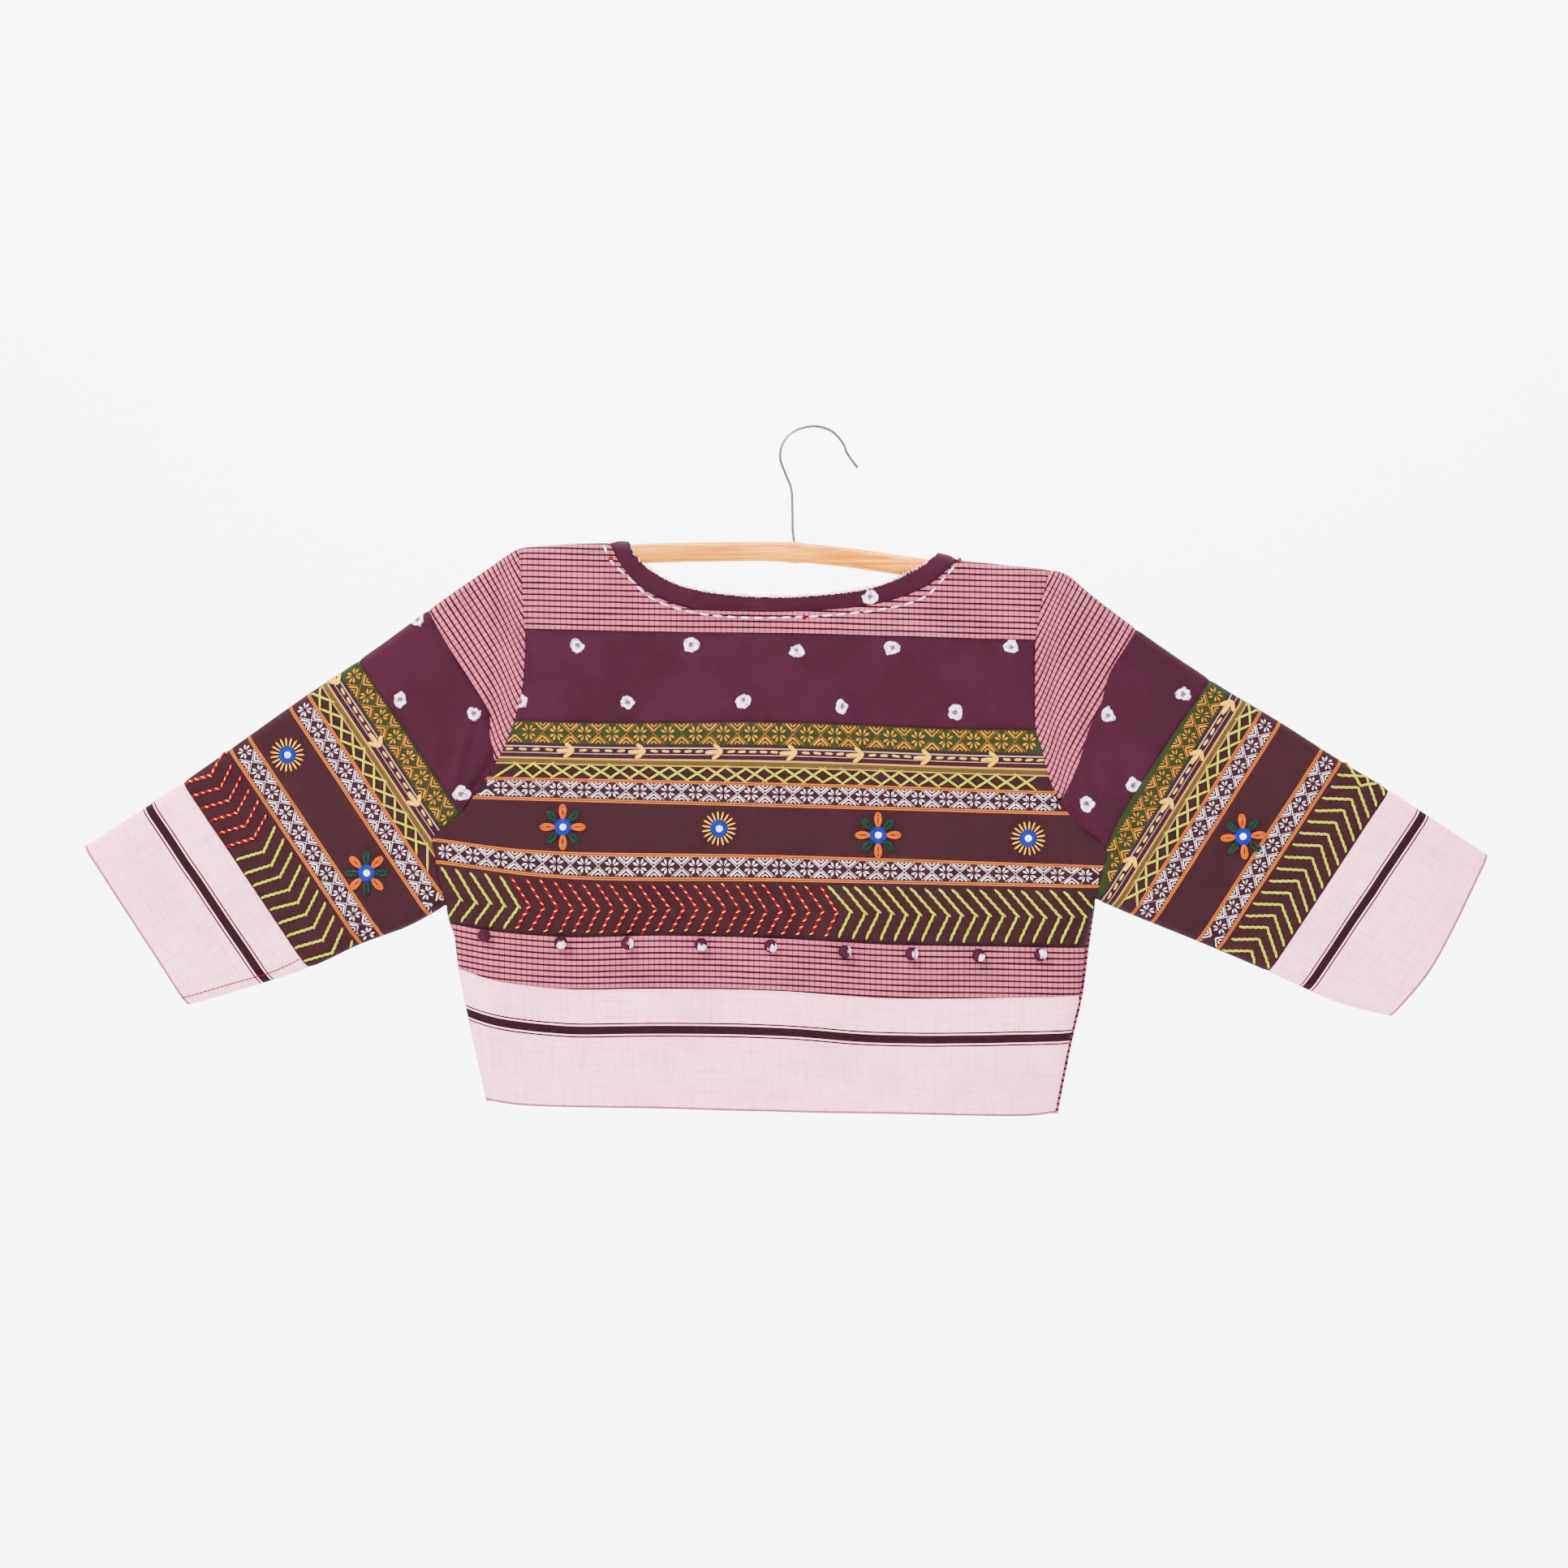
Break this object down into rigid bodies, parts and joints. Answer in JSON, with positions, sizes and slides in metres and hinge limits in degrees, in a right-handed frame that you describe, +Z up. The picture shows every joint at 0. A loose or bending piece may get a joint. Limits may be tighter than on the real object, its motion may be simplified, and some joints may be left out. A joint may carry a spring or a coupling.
{
  "type": "choli blouse on a wooden hanger",
  "caption": "Short-bodied patchwork choli blouse with embroidered bands and elbow sleeves, hanging flat, back outward, on a wooden bar with a wire hook.",
  "frame": {"origin": "underside of the hook's wire at its top, where it bears on what holds it", "axes": "+X across the blouse toward the wearer's right sleeve, -Y out of the back panel toward the viewer, +Z up"},
  "size_m": [0.9926, 0.0372, 0.4903],
  "materials": {
    "checked_cloth": "woven cotton, pink with dark and pale check lines",
    "bandhani_cloth": "tie-dyed purple cotton with white dots",
    "border_cloth": "dark maroon woven border cloth with star bands",
    "heathered_cloth": "pale pink heathered handloom cotton",
    "ball_cloth": "small stuffed balls of tie-dyed cotton",
    "stitch_yellow": "yellow embroidery thread",
    "stitch_lime": "lime embroidery thread",
    "stitch_red": "brick red embroidery thread",
    "stitch_cream": "cream embroidery thread",
    "stitch_orange": "orange embroidery thread",
    "stitch_green": "dark green embroidery thread",
    "stitch_blue": "blue embroidery thread",
    "stitch_white": "raised white thread of the woven stars",
    "stitch_gold": "raised gold thread of the woven stars",
    "small_mirror": "small round sewn-on mirrors",
    "hanger_wood": "varnished honey-coloured wood",
    "hanger_wire": "dull grey steel wire"
  },
  "bodies": {
    "root": {"back_yoke": "checked_cloth", "back_bandhani": "bandhani_cloth", "back_border": "border_cloth", "back_waist_band": "checked_cloth", "back_hem_band": "heathered_cloth", "neck_binding_back": "bandhani_cloth", "front_left": "checked_cloth", "front_right": "checked_cloth", "neck_binding_front_left": "bandhani_cloth", "neck_binding_front_right": "bandhani_cloth", "sleeve_left_cap": "checked_cloth", "sleeve_left_bandhani": "bandhani_cloth", "sleeve_left_border": "border_cloth", "sleeve_left_hem_band": "heathered_cloth", "sleeve_right_cap": "checked_cloth", "sleeve_right_bandhani": "bandhani_cloth", "sleeve_right_border": "border_cloth", "sleeve_right_hem_band": "heathered_cloth", "potli_ball_1": "ball_cloth", "potli_ball_2": "ball_cloth", "potli_ball_3": "ball_cloth", "potli_ball_4": "ball_cloth", "potli_ball_5": "ball_cloth", "potli_ball_6": "ball_cloth", "potli_ball_7": "ball_cloth", "potli_ball_8": "ball_cloth", "potli_ball_9": "ball_cloth", "hanger_bar": "hanger_wood", "hanger_hook": "hanger_wire"}
  },
  "joints": []
}
